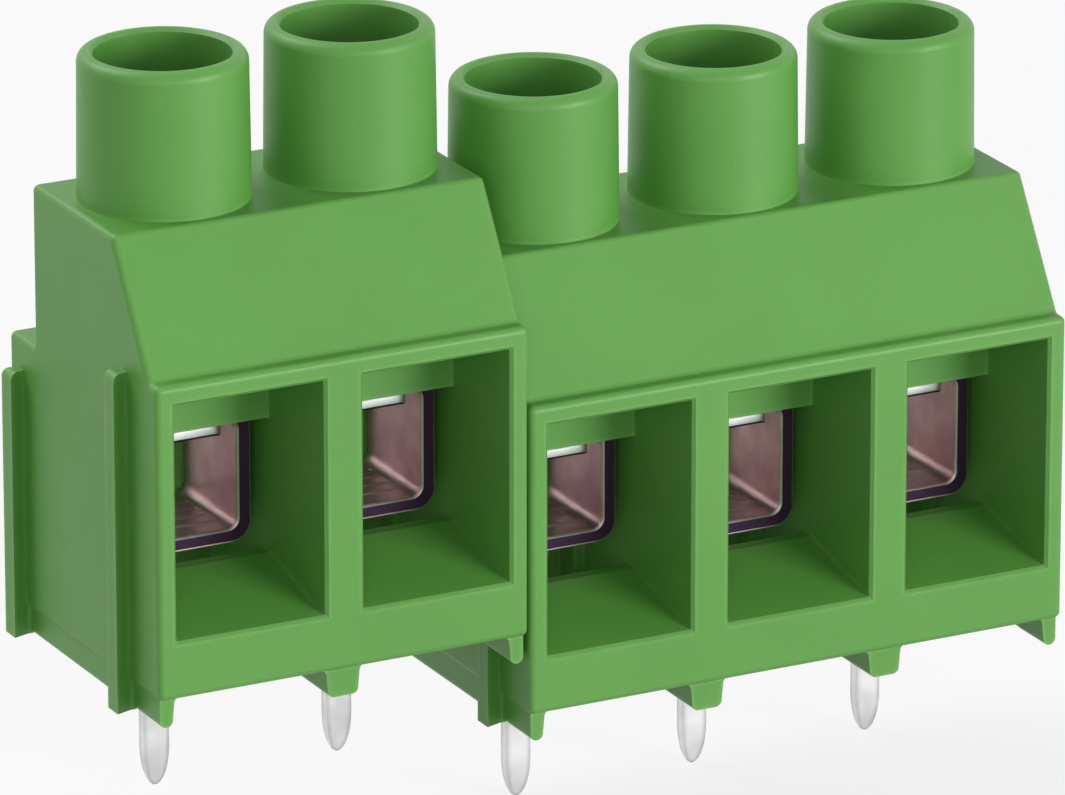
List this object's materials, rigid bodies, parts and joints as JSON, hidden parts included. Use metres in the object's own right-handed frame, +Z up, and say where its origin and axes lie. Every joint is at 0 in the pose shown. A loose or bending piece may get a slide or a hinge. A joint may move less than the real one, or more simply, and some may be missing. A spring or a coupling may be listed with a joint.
{
  "type": "pcb terminal block",
  "caption": "Screw terminal block for circuit boards: moulded modules with screw towers and wire funnels, joined by dovetail rails, over rising clamps with solder pins.",
  "frame": {"origin": "where the axis of the middle pole's solder pin crosses the top of the circuit board, level with the undersides of the three pole module's feet", "axes": "+X along the row of poles, +Y from the wire side to the back, +Z up from the board"},
  "size_m": [0.0386, 0.0128, 0.0325],
  "materials": {
    "green_plastic": "satin moulded",
    "clamp_metal": "nickel plated, satin",
    "screw_metal": "zinc plated",
    "tinned_pin": "matt tin plated"
  },
  "bodies": {
    "three_pole_module": {"housing_three_pole": "green_plastic", "solder_pin_3": "tinned_pin", "solder_pin_4": "tinned_pin", "solder_pin_5": "tinned_pin"},
    "two_pole_module": {"housing_two_pole": "green_plastic", "solder_pin_1": "tinned_pin", "solder_pin_2": "tinned_pin"},
    "box_body_1": {"clamp_box_1": "clamp_metal"},
    "screw_body_1": {"clamp_screw_1": "screw_metal"},
    "box_body_2": {"clamp_box_2": "clamp_metal"},
    "screw_body_2": {"clamp_screw_2": "screw_metal"},
    "box_body_3": {"clamp_box_3": "clamp_metal"},
    "screw_body_3": {"clamp_screw_3": "screw_metal"},
    "box_body_4": {"clamp_box_4": "clamp_metal"},
    "screw_body_4": {"clamp_screw_4": "screw_metal"},
    "box_body_5": {"clamp_box_5": "clamp_metal"},
    "screw_body_5": {"clamp_screw_5": "screw_metal"}
  },
  "joints": [
    {"name": "module_slide", "type": "slide", "parent": "three_pole_module", "child": "two_pole_module", "axis": [0, 0, 1], "range_m": [-0.0032, 0.006]},
    {"name": "clamp_box_1_travel", "type": "slide", "parent": "two_pole_module", "child": "box_body_1", "axis": [0, 0, 1], "range_m": [0, 0.0036]},
    {"name": "clamp_screw_1_turn", "type": "hinge", "parent": "two_pole_module", "child": "screw_body_1", "pos_m": [-0.01524, -0.00145, 0.0202], "axis": [0, 0, -1], "range_deg": [0, 2592]},
    {"name": "clamp_box_2_travel", "type": "slide", "parent": "two_pole_module", "child": "box_body_2", "axis": [0, 0, 1], "range_m": [0, 0.0036]},
    {"name": "clamp_screw_2_turn", "type": "hinge", "parent": "two_pole_module", "child": "screw_body_2", "pos_m": [-0.00762, -0.00145, 0.0202], "axis": [0, 0, -1], "range_deg": [0, 2592]},
    {"name": "clamp_box_3_travel", "type": "slide", "parent": "three_pole_module", "child": "box_body_3", "axis": [0, 0, 1], "range_m": [-0.00065, 0.00295]},
    {"name": "clamp_screw_3_turn", "type": "hinge", "parent": "three_pole_module", "child": "screw_body_3", "pos_m": [0, -0.00145, 0.017], "axis": [0, 0, -1], "range_deg": [-468, 2124]},
    {"name": "clamp_box_4_travel", "type": "slide", "parent": "three_pole_module", "child": "box_body_4", "axis": [0, 0, 1], "range_m": [0, 0.0036]},
    {"name": "clamp_screw_4_turn", "type": "hinge", "parent": "three_pole_module", "child": "screw_body_4", "pos_m": [0.00762, -0.00145, 0.017], "axis": [0, 0, -1], "range_deg": [0, 2592]},
    {"name": "clamp_box_5_travel", "type": "slide", "parent": "three_pole_module", "child": "box_body_5", "axis": [0, 0, 1], "range_m": [0, 0.0036]},
    {"name": "clamp_screw_5_turn", "type": "hinge", "parent": "three_pole_module", "child": "screw_body_5", "pos_m": [0.01524, -0.00145, 0.017], "axis": [0, 0, -1], "range_deg": [0, 2592]}
  ],
  "couplings": [
    {"joint": "clamp_screw_1_turn", "follows": "clamp_box_1_travel", "rad_per_m": 12565},
    {"joint": "clamp_screw_2_turn", "follows": "clamp_box_2_travel", "rad_per_m": 12565},
    {"joint": "clamp_screw_3_turn", "follows": "clamp_box_3_travel", "rad_per_m": 12565},
    {"joint": "clamp_screw_4_turn", "follows": "clamp_box_4_travel", "rad_per_m": 12565},
    {"joint": "clamp_screw_5_turn", "follows": "clamp_box_5_travel", "rad_per_m": 12565}
  ]
}
